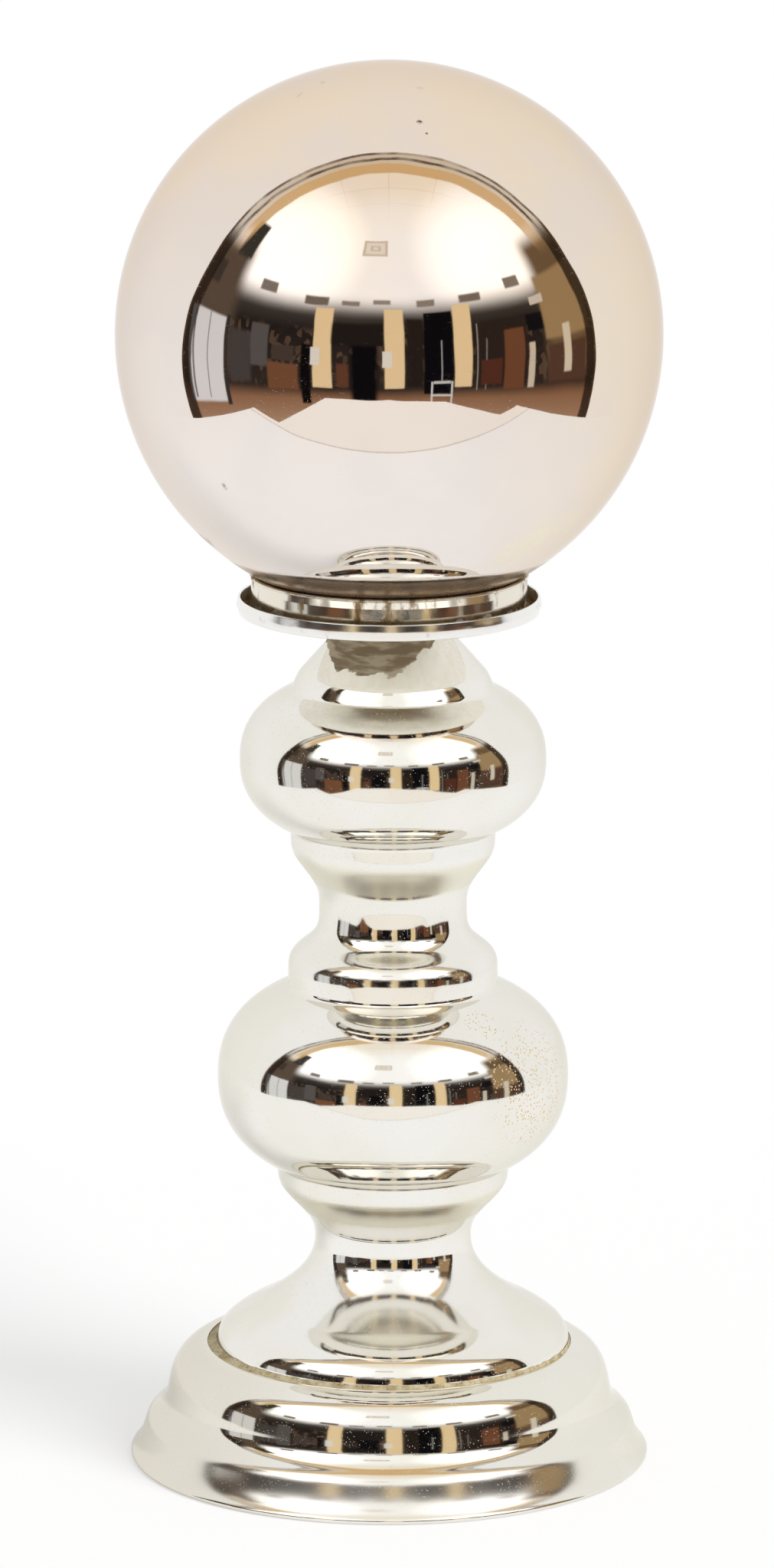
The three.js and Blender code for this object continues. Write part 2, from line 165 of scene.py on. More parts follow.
# Pixel across, pixel down and size in millimetres of each mark on the ball, then its colour
BALL_MARKS = (
    ((547, 165, 2.0), (0.11, 0.085, 0.065, 1)),
    ((395, 128, 3.2), (0.70, 0.58, 0.48, 1)),
    ((420, 112, 2.6), (0.68, 0.56, 0.47, 1)),
    ((548, 120, 2.2), (0.66, 0.55, 0.46, 1)),
    ((297, 632, 2.6), (0.50, 0.45, 0.40, 1)),
    ((738, 680, 13.0), (0.86, 0.79, 0.60, 1)),
    ((704, 698, 17.0), (0.86, 0.79, 0.62, 1)),
    ((664, 718, 14.0), (0.86, 0.80, 0.65, 1)),
    ((268, 700, 9.0), (0.45, 0.38, 0.31, 1)),
    ((556, 180, 1.0), (0.20, 0.16, 0.12, 1)),
)
# Patches of tan freckles on the lower bulb: the middle of each, and how far it reaches
FRECKLES = (
    ((68 * MM, -46 * MM, 192 * MM), 36 * MM),
    ((42 * MM, -47 * MM, 217 * MM), 12 * MM),
)
TROUGH_REFLECTION_REACH = 12 * MM  # how far a golden-brown band, a painted reflection of the cup's brown trough, reaches up the ball from the cup's rim
SMEAR_DEPTH = 17 * MM  # how far the cement is smeared down the cone
SMEAR_LEFT, SMEAR_RIGHT = -24 * MM, 3 * MM  # where it is deepest; it shortens to both sides
SMEAR_LEFT_SLANT, SMEAR_RIGHT_SLANT = 1.6, 0.7
NECK_BANDS = ((70, 96), (238, 252))  # heights of the flares below the two necks
NECK_HAZE = 0.05  # the roughness that is added there, and so for the other two
FOOT_TOP = 57 * MM  # below it the glass is a little beiger, most of all on the left
FLANK_BANDS = ((3, 20),)  # heights of the foot's flared rim
FLANK_HAZE = 0.12
UNDER_BANDS = ((120, 140), (278, 299))  # heights of the hollow bands below the bulbs, where glass that faces down gets a painted yellowish sheen
UNDER_HAZE = 0.26


def on_ball(across, down, middle, radius):
    """The point of the ball that a pixel of the photograph shows."""
    right = (across - BALL_PX[0]) / BALL_RADIUS_PX
    up = (BALL_PX[1] - down) / BALL_RADIUS_PX
    near_side = math.sqrt(1 - right**2 - up**2)
    cos, sin = math.cos(BALL_SEEN_FROM), math.sin(BALL_SEEN_FROM)
    forward = sin * up - cos * near_side
    upward = cos * up + sin * near_side
    return (radius * right, radius * forward, middle + radius * upward)


# Materials


def silvered_glass(s, place, tint, edge_tint, pinholes, stains, wobble, base, haze=0.0):
    """Glass silvered inside: a mirror with pinholes in the silver, fine scratches and a gentle swell."""
    hairs = s.noise(s.stretched(place, (260.0, 260.0, 5200.0)), 1.0, 1.0)
    hairs = s.ease(hairs, 0.70, 0.78)
    worn = s.math("MAXIMUM", pinholes, stains)
    roughness = s.math("ADD", s.math("MULTIPLY", hairs, 0.14), base)
    roughness = s.math("ADD", roughness, haze)
    roughness = s.math("ADD", roughness, s.math("MULTIPLY", worn, 0.6))
    swell = s.noise(place, 26.0, 1.5)
    grain = s.noise(place, 900.0, 2.0)
    height = s.math("ADD", swell, s.math("MULTIPLY", grain, 0.004))
    bump = s.add("ShaderNodeBump", {"Strength": 1.0, "Distance": wobble, "Height": height})
    shader = s.add(
        "ShaderNodeBsdfPrincipled",
        {
            "Base Color": tint,
            "Specular Tint": edge_tint,
            "Metallic": s.ease(worn, 0.0, 1.0, 1.0, 0.2),
            "Roughness": roughness,
            "Normal": bump.outputs["Normal"],
        },
    )
    s.add("ShaderNodeOutputMaterial", {"Surface": shader.outputs[0]})


def pinholes_in(s, place, scale, amount):
    """Tiny holes in the silver, denser in some places than in others."""
    holes = s.dots(place, scale, 0.2)
    holes = s.math("MULTIPLY", holes, s.ease(s.noise(place, scale / 3), 0.46, 0.56))
    return s.math("MULTIPLY", holes, amount)


def near(s, place, point, inner, outer):
    """1 within a distance of a point, easing to 0 further out."""
    gap = s.add("ShaderNodeVectorMath", {0: place, 1: point}, operation="DISTANCE").outputs["Value"]
    return s.ease(gap, inner, outer, 1.0, 0.0)


def bands_in(s, height, bands):
    """1 inside any of the bands of height, and 0 elsewhere."""
    found = 0.0
    for low, high in bands:
        found = s.math("MAXIMUM", found, s.within(height, low * MM, high * MM, 2 * MM))
    return found


def make_silver(dome_top):
    material, s = new_material("silvered_glass")
    place = s.position()
    x, _, z = s.split(place)
    drift = s.ease(s.noise(place, 14.0, 3.0), 0.35, 0.65)
    tint = s.mix(drift, srgb(243, 241, 236), srgb(238, 235, 225))
    worn = s.ease(s.noise(place, 22.0, 4.0), 0.34, 0.56)
    holes = pinholes_in(s, place, 900.0, worn)
    tint = s.mix(holes, tint, srgb(222, 216, 200))

    spread = 0.0
    for middle, reach in FRECKLES:
        spread = s.math("MAXIMUM", spread, near(s, place, middle, 0.3 * reach, reach))
    crowd = s.ease(s.math("ADD", s.noise(place, 240.0), s.math("MULTIPLY", spread, 0.2)), 0.52, 0.6)
    freckles = s.math("MULTIPLY", s.dots(place, 640.0, 0.34), crowd)
    freckles = s.math("MULTIPLY", freckles, s.ease(spread, 0.0, 0.3))
    tint = s.mix(freckles, tint, srgb(206, 176, 122))

    right = s.math("MAXIMUM", s.math("SUBTRACT", x, SMEAR_RIGHT), 0.0)
    left = s.math("MAXIMUM", s.math("SUBTRACT", SMEAR_LEFT, x), 0.0)
    right_lift = s.math("MULTIPLY", right, SMEAR_RIGHT_SLANT)
    left_lift = s.math("MULTIPLY", left, SMEAR_LEFT_SLANT)
    smear_edge = s.math("SUBTRACT", z, s.math("ADD", right_lift, left_lift))
    ragged = s.math("MULTIPLY", s.math("SUBTRACT", s.noise(place, 130.0, 5.0), 0.5), 10 * MM)
    smear_edge = s.math("ADD", smear_edge, ragged)
    smear = s.ease(smear_edge, dome_top - SMEAR_DEPTH, dome_top - SMEAR_DEPTH + 0.8 * MM)
    smear = s.math("MULTIPLY", smear, s.ease(z, dome_top + 20 * MM, dome_top + 21 * MM, 1.0, 0.0))
    streaks = s.noise(s.stretched(place, (90.0, 90.0, 420.0)), 1.0, 5.0)
    paste = s.mix(s.ease(streaks, 0.4, 0.62), srgb(142, 124, 98), srgb(190, 176, 150))
    tint = s.mix(smear, tint, paste)
    stains = s.math("MAXIMUM", s.math("MULTIPLY", smear, 0.8), freckles)
    facing = s.split(s.add("ShaderNodeNewGeometry").outputs["True Normal"])[2]
    under = s.math("MULTIPLY", s.ease(facing, -0.5, -0.2, 1.0, 0.0), bands_in(s, z, UNDER_BANDS))
    # Glass that faces down in those bands is tinted yellowish: a painted sheen.
    tint = s.mix(s.math("MULTIPLY", under, 0.6), tint, srgb(236, 232, 210))
    low = s.ease(z, FOOT_TOP - 4 * MM, FOOT_TOP, 1.0, 0.0)
    beige = s.math("MULTIPLY", low, s.ease(x, -95 * MM, -30 * MM, 0.75, 0.12))
    tint = s.mix(beige, tint, srgb(224, 218, 203))
    necks = bands_in(s, z, NECK_BANDS)
    haze = s.math("ADD", s.math("MULTIPLY", under, UNDER_HAZE), s.math("MULTIPLY", necks, NECK_HAZE))
    haze = s.math("ADD", haze, s.math("MULTIPLY", bands_in(s, z, FLANK_BANDS), FLANK_HAZE))
    silvered_glass(s, place, tint, (0.88, 0.87, 0.83, 1), holes, stains, 0.35 * MM, 0.058, haze)
    return material


def make_rose(middle, radius, seat):
    material, s = new_material("rose_silvered_glass")
    place = s.position()
    x, _, z = s.split(place)
    rise = s.math("DIVIDE", s.math("SUBTRACT", z, middle), radius)
    low = s.mix(s.ease(rise, -0.9, 0.0), srgb(240, 234, 229), srgb(238, 229, 222))
    tint = s.mix(s.ease(rise, -0.1, 0.9), low, srgb(239, 221, 199))
    tint = s.mix(s.math("MULTIPLY", s.ease(x, 0.1 * radius, radius), 0.8), tint, srgb(236, 220, 196))
    drift = s.ease(s.noise(place, 16.0, 4.0), 0.42, 0.66)
    tint = s.mix(s.math("MULTIPLY", drift, 0.4), tint, srgb(228, 220, 218))
    worn = s.ease(s.noise(place, 22.0, 4.0), 0.56, 0.7)
    holes = pinholes_in(s, place, 820.0, s.math("MULTIPLY", worn, 0.4))
    # A golden-brown band just above the cup's rim, with rougher silver: painted reflection of the cup's brown
    # trough.
    grime_and_reflection = s.ease(z, seat + 0.75 * TROUGH_REFLECTION_REACH, seat + TROUGH_REFLECTION_REACH, 1.0, 0.0)
    grime_and_reflection = s.math("MULTIPLY", grime_and_reflection, s.ease(s.noise(place, 90.0, 5.0), 0.3, 0.6, 0.6, 1.0))
    tint = s.mix(s.math("MULTIPLY", grime_and_reflection, 0.9), tint, srgb(160, 130, 90))
    stains = s.math("MULTIPLY", grime_and_reflection, 0.42)
    for (across, down, size), colour in BALL_MARKS:
        point = on_ball(across, down, middle, radius)
        patch = near(s, place, point, 0.3 * size * MM, size * MM)
        soft = 0.3 if size > 10 else 0.06
        broken = s.ease(s.noise(place, 700.0 / size, 4.0), 0.5 - soft, 0.5 + soft)
        patch = s.math("MULTIPLY", patch, broken)
        tint = s.mix(patch, tint, colour)
        stains = s.math("MAXIMUM", stains, s.math("MULTIPLY", patch, 0.5))
    silvered_glass(s, place, tint, (0.86, 0.81, 0.76, 1), holes, stains, 0.2 * MM, 0.026)
    return material


ABOVE_ALL = 1.0  # a height that no piece reaches
ROLLED_SLOPE = 0.36  # of a wall that is rolled inwards


def plated(name, bright, tarnish, tarnish_from, grime_and_reflection, grime_below, grime_soft, rolled_from=ABOVE_ALL):
    """Worn plating: brown tarnish in patches, grime up to a height, and a wall that leans in from another."""
    material, s = new_material(name)
    place = s.position()
    height = s.split(place)[2]
    patches = s.noise(s.stretched(place, (1.0, 1.0, 0.45)), 85.0, 6.0, 0.62)
    worn = s.ease(patches, tarnish_from, tarnish_from + 0.12)
    wander = s.math("MULTIPLY", s.math("SUBTRACT", s.noise(place, 140.0, 4.0), 0.5), 5 * grime_soft)
    dirty = s.ease(
        s.math("ADD", height, wander), grime_below - grime_soft, grime_below + grime_soft, 1.0, 0.0
    )
    colour = s.mix(worn, bright, tarnish)
    colour = s.mix(dirty, colour, grime_and_reflection)
    rough = s.math("ADD", s.math("MULTIPLY", worn, 0.25), 0.13)
    rough = s.math("ADD", rough, s.math("MULTIPLY", dirty, 0.5))
    metal = s.ease(dirty, 0.0, 1.0, 1.0, 0.15)
    dents = s.noise(place, 60.0, 2.0)
    scuffs = s.noise(place, 1400.0, 3.0)
    relief = s.math("ADD", dents, s.math("MULTIPLY", scuffs, 0.05))
    rolled = s.math("MAXIMUM", s.math("SUBTRACT", height, rolled_from), 0.0)
    leaning = s.math("MULTIPLY", rolled, ROLLED_SLOPE)
    relief = s.math("SUBTRACT", s.math("MULTIPLY", relief, 0.25 * MM), leaning)
    bump = s.add("ShaderNodeBump", {"Strength": 1.0, "Distance": 1.0, "Height": relief})
    shader = s.add(
        "ShaderNodeBsdfPrincipled",
        {
            "Base Color": colour,
            "Metallic": metal,
            "Roughness": rough,
            "Normal": bump.outputs["Normal"],
        },
    )
    s.add("ShaderNodeOutputMaterial", {"Surface": shader.outputs[0]})
    return material


def dish_finish(low, floor, inner):
    """A bright rim, a grimy trough inside it and a satin underside."""
    material, s = new_material("polished_plate")
    place = s.position()
    x, y, z = s.split(place)
    radial = s.math("SQRT", s.math("ADD", s.math("MULTIPLY", x, x), s.math("MULTIPLY", y, y)))
    blotches = s.noise(place, 130.0, 5.0, 0.6)
    wander = s.math("MULTIPLY", s.math("SUBTRACT", blotches, 0.5), 3 * MM)
    edge = s.math("ADD", z, wander)
    trough = s.ease(radial, inner - 0.1 * MM, inner + 0.3 * MM, 1.0, 0.0)
    trough = s.math("MULTIPLY", trough, s.ease(edge, floor + 4.6 * MM, floor + 6.2 * MM, 1.0, 0.0))
    under = s.ease(z, low + 0.1 * MM, low + 0.5 * MM, 1.0, 0.0)
    trough = s.math("MULTIPLY", trough, s.math("SUBTRACT", 1.0, under))
    bright = s.mix(s.ease(blotches, 0.6, 0.72), srgb(243, 242, 238), srgb(214, 210, 200))
    satin = s.mix(s.ease(blotches, 0.3, 0.7), srgb(251, 249, 243), srgb(244, 241, 231))
    muck = s.mix(s.ease(blotches, 0.35, 0.65), srgb(112, 88, 56), srgb(164, 138, 94))
    colour = s.mix(trough, s.mix(under, bright, satin), muck)
    rough = s.math("ADD", s.math("MULTIPLY", under, 0.2), 0.18)
    rough = s.math("ADD", rough, s.math("MULTIPLY", trough, 0.5))
    relief = s.math("ADD", s.noise(place, 60.0, 2.0), s.math("MULTIPLY", s.noise(place, 1400.0, 3.0), 0.05))
    bump = s.add("ShaderNodeBump", {"Strength": 1.0, "Distance": 0.2 * MM, "Height": relief})
    shader = s.add(
        "ShaderNodeBsdfPrincipled",
        {
            "Base Color": colour,
            "Metallic": s.ease(trough, 0.0, 1.0, 1.0, 0.1),
            "Roughness": rough,
            "Normal": bump.outputs["Normal"],
        },
    )
    s.add("ShaderNodeOutputMaterial", {"Surface": shader.outputs[0]})
    return material


def crumbly(name, pale, deep, specks, scale):
    """Old putty, cement or cork: matt, mottled, with dark specks and a broken surface."""
    material, s = new_material(name)
    place = s.position()
    mottle = s.noise(place, scale, 5.0, 0.6)
    colour = s.mix(s.ease(mottle, 0.38, 0.62), pale, deep)
    dark = s.math("MULTIPLY", s.dots(place, scale * 7, 0.3), s.ease(s.noise(place, scale * 2), 0.5, 0.6))
    colour = s.mix(dark, colour, specks)
    relief = s.math("ADD", s.noise(place, scale * 3, 6.0, 0.7), s.math("MULTIPLY", dark, -0.5))
    bump = s.add("ShaderNodeBump", {"Strength": 0.9, "Distance": 0.8 * MM, "Height": relief})
    shader = s.add(
        "ShaderNodeBsdfPrincipled",
        {"Base Color": colour, "Roughness": 0.9, "Normal": bump.outputs["Normal"]},
    )
    s.add("ShaderNodeOutputMaterial", {"Surface": shader.outputs[0]})
    return material


# Outlines, which follow the solids closely

BULB_POWER = 2.35
OGEE_POWER = 1.2
FINE_STEPS = 48


def shares(count):
    return [(i + 1) / count for i in range(count)]


def ogee(from_radius, to_radius, from_height, to_height):
    points = []
    for t in shares(FINE_STEPS):
        swing = (1 - math.cos(math.pi * t**OGEE_POWER)) / 2
        radius = from_radius + (to_radius - from_radius) * swing
        points.append((radius, from_height + (to_height - from_height) * t))
    return points


def bulb_reach(radius, cut_radius, cut_height):
    return cut_height / (1 - (cut_radius / radius) ** BULB_POWER) ** (1 / BULB_POWER)


def bulb(radius, low_radius, high_radius, middle, under, over):
    reach_under = bulb_reach(radius, low_radius, under)
    reach_over = bulb_reach(radius, high_radius, over)
    low_angle = math.asin(under / reach_under)
    high_angle = math.asin(over / reach_over)
    points = []
    for t in [0, *shares(2 * FINE_STEPS)]:
        angle = -low_angle + (low_angle + high_angle) * t
        reach = reach_under if angle < 0 else reach_over
        rise = reach * math.sin(angle)
        share = abs(rise / reach) ** BULB_POWER
        points.append((radius * (1 - share) ** (1 / BULB_POWER), middle + rise))
    return points


def bezier(start, first, second, end):
    points = []
    for t in [0, *shares(FINE_STEPS)]:
        weights = ((1 - t) ** 3, 3 * t * (1 - t) ** 2, 3 * t**2 * (1 - t), t**3)
        corners = (start, first, second, end)
        points.append(tuple(sum(w * p[k] for w, p in zip(weights, corners)) for k in (0, 1)))
    return points


def swept(start, end, slopes, pulls):
    """A curve that leaves one point and reaches another at given slopes from upright."""
    span = math.dist(start, end)
    leaving, reaching = (
        (-math.sin(slope) * pull * span, math.cos(slope) * pull * span) for slope, pull in zip(slopes, pulls)
    )
    first = (start[0] + leaving[0], start[1] + leaving[1])
    second = (end[0] - reaching[0], end[1] - reaching[1])
    return bezier(start, first, second, end)[1:]


def even(points, step):
    """The same outline with points an equal step apart."""
    found = [points[0]]
    carried = 0.0
    for (r0, z0), (r1, z1) in zip(points, points[1:]):
        length = math.hypot(r1 - r0, z1 - z0)
        place = step - carried
        while place < length:
            found.append((r0 + (r1 - r0) * place / length, z0 + (z1 - z0) * place / length))
            place += step
        carried = length - (place - step)
    found.append(points[-1])
    return found


def eased(points, reach):
    """The outline with its creases rounded, by averaging along it over a short reach."""
    step = reach / 4
    fine = even(points, step)
    result = []
    for i in range(len(fine)):
        span = min(4, i, len(fine) - 1 - i)
        around = fine[i - span:i + span + 1]
        result.append(tuple(sum(p[k] for p in around) / len(around) for k in (0, 1)))
    return even(result, ROW_STEP)


# Turned pieces


def lathe(name, outline, centre_x=0.0, closed=False):
    """Turns an outline of (radius, height) points about a vertical axis, smooth all round."""
    vertices, rows = [], []
    for radius, height in outline:
        if radius < 0.001 * MM:
            rows.append([len(vertices)] * TURNS)
            vertices.append((centre_x, 0.0, height))
            continue
        rows.append(range(len(vertices), len(vertices) + TURNS))
        for turn in range(TURNS):
            angle = 2 * math.pi * turn / TURNS
            vertices.append((centre_x + radius * math.cos(angle), radius * math.sin(angle), height))
    faces = []
    pairs = list(zip(rows, rows[1:]))
    if closed:
        pairs.append((rows[-1], rows[0]))
    for low, high in pairs:
        for turn in range(TURNS):
            after = (turn + 1) % TURNS
            corners = (low[turn], low[after], high[after], high[turn])
            faces.append(tuple(dict.fromkeys(corners)))
    mesh = bpy.data.meshes.new(name)
    mesh.from_pydata(vertices, [], faces)
    mesh.validate()
    for polygon in mesh.polygons:
        polygon.use_smooth = True
    mesh.set_sharp_from_angle(angle=math.radians(50))
    piece = bpy.data.objects.new(name, mesh)
    bpy.context.scene.collection.objects.link(piece)
    return piece


def dress(piece, nodes, body, material):
    """Puts a piece in the place of solids, on their body, with its finish."""
    piece.data.materials.append(material)
    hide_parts(*nodes)
    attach(piece, body)
    return piece


def inset(outline, wall):
    """The inner side of a wall, from the top down."""
    points = []
    for i, (radius, height) in enumerate(outline):
        r0, z0 = outline[max(i - 1, 0)]
        r1, z1 = outline[min(i + 1, len(outline) - 1)]
        length = math.hypot(r1 - r0, z1 - z0)
        points.append((radius - (z1 - z0) / length * wall, height + (r1 - r0) / length * wall))
    return points[::-1]


# Ball

BALL_NECK = 11.6 * MM
BALL_NECK_WALL = 2.4 * MM
BALL_NECK_LENGTH = 9 * MM
BALL_FILLET = 1.5 * MM


def make_ball():
    low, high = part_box("ball_shell")
    radius = (high.x - low.x) / 2
    middle = high.z - radius
    neck_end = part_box("ball_neck")[0].z
    under = middle - neck_end - BALL_NECK_LENGTH
    start = math.acos((BALL_NECK + BALL_FILLET) / radius)
    outline = []
    for t in [0, *shares(4 * FINE_STEPS)]:
        angle = -start + (start + math.pi / 2) * t
        depth = under if angle < 0 else radius
        outline.append((max(radius * math.cos(angle), 0.0), middle + math.sin(angle) * depth))
    outline[-1] = (0.0, high.z)
    shoulder = (BALL_NECK, outline[0][1] - BALL_FILLET)
    bore = BALL_NECK - BALL_NECK_WALL
    outline = [(bore, neck_end), (BALL_NECK, neck_end), shoulder, *outline]
    ball = lathe("ball", outline)
    finish = make_rose(middle, radius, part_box("collar_cup")[1].z)
    dress(ball, ("ball_neck", "ball_shell"), "ball", finish)


# Stem

STEM = {
    "wall": 3,
    "skirt_taper": 2.1,
    "skirt": 7.3,
    "shoulder": 12,
    "shoulder_inner_radius": 63.6,
    "flare": 32.5,
    "lower_neck_radius": 36.8,
    "lower_rise": 30.5,
    "lower_band_radius": 54.3,
    "lower_band": 5,
    "lower_bulb_radius": 82.5,
    "lower_bulb_under": 42.5,
    "lower_bulb_over": 44,
    "upper_bead_radius": 49.2,
    "upper_bead": 7.5,
    "upper_drop": 31.5,
    "upper_neck_radius": 34.6,
    "upper_rise": 29.5,
    "upper_band_radius": 48.1,
    "upper_band": 6.5,
    "band_lean": 0.25,
    "upper_bulb_radius": 71.7,
    "upper_bulb_under": 33,
    "upper_bulb_over": 34,
    "dome_radius": 47.2,
    "belt": 7.2,
    "mouth": 2.3,
    "mouth_radius": 23.8,
}
STEM = {name: size * MM for name, size in STEM.items()}
STEM_SECTIONS = ("stem_skirt", "stem_lower_bulb", "stem_upper_bulb")
SKIRT_POWER = 1.9
FLARE_POWER = 2.15
DROP_POWER = 2.5
DROP_LEAN = 1.3
SHOULDER_SLOPE = math.radians(66)
SHOULDER_PULLS = (0.18, 0.42)
BELT_SLOPES = (math.radians(18), math.radians(30))
CONE_SLOPE = math.radians(41.2)


def skirt_outline(bottom, skirt_radius):
    """The trumpet below the lower neck, from the skirt's edge up."""
    d = STEM
    skirt_top = bottom + d["skirt"]
    shoulder_top = skirt_top + d["shoulder"]
    points = []
    for t in [0, *shares(FINE_STEPS)]:
        points.append((skirt_radius - d["skirt_taper"] * t**SKIRT_POWER, bottom + d["skirt"] * t))
    slope = math.atan(SKIRT_POWER * d["skirt_taper"] / d["skirt"])
    shoulder = (d["shoulder_inner_radius"], shoulder_top)
    points += swept(points[-1], shoulder, (slope, SHOULDER_SLOPE), SHOULDER_PULLS)
    grow = d["shoulder_inner_radius"] - d["lower_neck_radius"]
    for t in shares(FINE_STEPS):
        points.append((d["lower_neck_radius"] + grow * (1 - t) ** FLARE_POWER, shoulder_top + d["flare"] * t))
    return points


def drop_outline(upper_neck):
    """The drop from the upper neck to the bead below it, from the bead up."""
    d = STEM
    grow = d["upper_bead_radius"] - d["upper_neck_radius"]
    points = []
    for t in shares(FINE_STEPS):
        near_bead = t ** (DROP_LEAN * DROP_POWER)
        near_neck = (1 - t**DROP_LEAN) ** DROP_POWER
        radius = d["upper_neck_radius"] + grow * near_bead / (near_bead + near_neck)
        points.append((radius, upper_neck - d["upper_drop"] * t))
    return points[::-1]


def dome_outline(upper_top):
    """The belt, cone and mouth above the upper bulb."""
    d = STEM
    low, high = BELT_SLOPES
    bend = d["belt"] / (math.sin(high) - math.sin(low))
    points = []
    for t in shares(FINE_STEPS):
        slope = low + (high - low) * t
        radius = d["dome_radius"] - bend * (math.cos(low) - math.cos(slope))
        points.append((radius, upper_top + bend * (math.sin(slope) - math.sin(low))))
    belt_radius, belt_top = points[-1]
    dome_top = belt_top + (belt_radius - d["mouth_radius"]) / math.tan(CONE_SLOPE)
    return [*points, (d["mouth_radius"], dome_top), (d["mouth_radius"], dome_top + d["mouth"])]


def stem_outline(bottom, skirt_radius):
    d = STEM
    lower_neck = bottom + d["skirt"] + d["shoulder"] + d["flare"]
    lower_band = lower_neck + d["lower_rise"]
    lower_middle = lower_band + d["lower_band"] + d["lower_bulb_under"]
    upper_bead = lower_middle + d["lower_bulb_over"] + d["upper_bead"]
    upper_neck = upper_bead + d["upper_drop"]
    upper_band = upper_neck + d["upper_rise"]
    upper_middle = upper_band + d["upper_band"] + d["upper_bulb_under"]
    upper_top = upper_middle + d["upper_bulb_over"]

    points = skirt_outline(bottom, skirt_radius)
    points += ogee(d["lower_neck_radius"], d["lower_band_radius"], lower_neck, lower_band)
    points += bulb(
        d["lower_bulb_radius"],
        d["lower_band_radius"],
        d["upper_bead_radius"],
        lower_middle,
        d["lower_bulb_under"],
        d["lower_bulb_over"],
    )
    points += drop_outline(upper_neck)
    points += [(d["upper_neck_radius"], upper_neck)]
    points += ogee(d["upper_neck_radius"], d["upper_band_radius"] - d["band_lean"], upper_neck, upper_band)
    points += bulb(
        d["upper_bulb_radius"],
        d["upper_band_radius"],
        d["dome_radius"],
        upper_middle,
        d["upper_bulb_under"],
        d["upper_bulb_over"],
    )
    return points + dome_outline(upper_top)


def make_stem(silver):
    low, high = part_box(STEM_SECTIONS[0])
    outer = eased(stem_outline(low.z, (high.x - low.x) / 2), CREASE_ROUND)
    walls = outer + inset(outer, STEM["wall"])[1:]
    stem = lathe("stem", walls, (low.x + high.x) / 2, closed=True)
    dress(stem, STEM_SECTIONS, "stand", silver)


# Foot

FOOT = {
    "rim": 2.2,
    "rim_round": 1.4,
    "flank": 16.8,
    "flank_out": 10.3,
    "waist_radius": 104.8,
    "waist": 32,
    "lip_radius": 87.3,
    "lip_width": 1.2,
    "ledge_depth": 3.4,
    "wall": 3.5,
    "hole_radius": 16,
}
FOOT = {name: size * MM for name, size in FOOT.items()}
RIM_SLOPE = math.radians(52)
FLANK_SLOPE = math.radians(17)
WAIST_SLOPE = math.radians(8.5)
LIP_SLOPE = math.radians(76)
RIM_PULLS = (0.32, 0.45)
FLANK_PULLS = (0.34, 0.54)
TIER_PULLS = (0.44, 0.456)


def foot_outline(rim_radius, lip_height):
    d = FOOT
    edge = []
    for t in [0, *shares(8)]:
        angle = math.pi / 2 * t
        inwards = d["rim_round"] * (1 - math.sin(angle))
        edge.append((rim_radius - inwards, d["rim_round"] * (1 - math.cos(angle))))
    rim = (rim_radius, d["rim"])
    flank = (d["waist_radius"] + d["flank_out"], d["flank"])
    waist = (d["waist_radius"], d["waist"])
    lip = (d["lip_radius"], lip_height)
    return [
        *edge,
        rim,
        *swept(rim, flank, (RIM_SLOPE, FLANK_SLOPE), RIM_PULLS),
        *swept(flank, waist, (FLANK_SLOPE, WAIST_SLOPE), FLANK_PULLS),
        *swept(waist, lip, (WAIST_SLOPE, LIP_SLOPE), TIER_PULLS),
    ]


def make_foot(silver):
    low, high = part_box("foot_shell")
    outer = eased(foot_outline((high.x - low.x) / 2, high.z), 0.7 * MM)
    d = FOOT
    ledge = high.z - d["ledge_depth"]
    ledge_radius = d["lip_radius"] - d["lip_width"]
    roof = ledge - d["wall"]
    inside = [p for p in inset(outer, d["wall"]) if d["rim_round"] < p[1] < roof]
    walls = [
        *outer,
        (ledge_radius, high.z),
        (ledge_radius, ledge),
        (d["hole_radius"], ledge),
        (d["hole_radius"], roof),
        (ledge_radius - d["wall"], roof),
        *inside,
        (inside[-1][0], 0.0),
    ]
    foot = lathe("foot", walls, closed=True)
    dress(foot, ("foot_shell",), "stand", silver)


# Collar

COLLAR = {
    "dish_wall": 1.8,
    "dish_taper": 0.9,
    "dish_roll": 0.6,
    "dish_floor": 1.6,
    "round": 0.9,
    "cup_wall": 1.6,
    "cup_base": 8,
    "bead": 0.7,
}
COLLAR = {name: size * MM for name, size in COLLAR.items()}
DISH_HOLE = 15.6 * MM
DISH_BELLY_SHARE = 0.5  # of the dish's height, where its wall is widest
DISH_LEAN_SHARES = (0.25, 0.72)  # of the roll and of the height, where the wall has begun to lean in
CUP_FLOOR = 1.5 * MM
CUP_ROLL = 3.6 * MM  # how far above its middle the cup's wall begins to roll in


def make_dish():
    low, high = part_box("collar_dish")
    d = COLLAR
    radius = (high.x - low.x) / 2
    inner = radius - d["dish_wall"]
    floor = low.z + d["dish_floor"]
    edge = []
    for t in [0, *shares(8)]:
        angle = math.pi / 2 * t
        edge.append((math.sin(angle), 1 - math.cos(angle)))
    foot_radius = radius - d["dish_taper"]
    lower = [(foot_radius - d["round"] * (1 - a), low.z + d["round"] * b) for a, b in edge]
    half = (d["dish_wall"] - d["dish_roll"]) / 2
    rise = high.z - low.z
    lean, lean_height = DISH_LEAN_SHARES
    belly = [
        (radius, low.z + DISH_BELLY_SHARE * rise),
        (radius - lean * d["dish_roll"], low.z + lean_height * rise),
    ]
    upper = []
    for t in [0, *shares(12)]:
        angle = math.pi * t
        upper.append((inner + half * (1 + math.cos(angle)), high.z - half * (1 - math.sin(angle))))
    walls = [(DISH_HOLE, low.z), *lower, *belly, *upper, (inner, floor), (DISH_HOLE, floor)]
    dish = lathe("dish", walls, closed=True)
    finish = dish_finish(low.z, floor, inner)
    dress(dish, ("collar_dish",), "stand", finish)


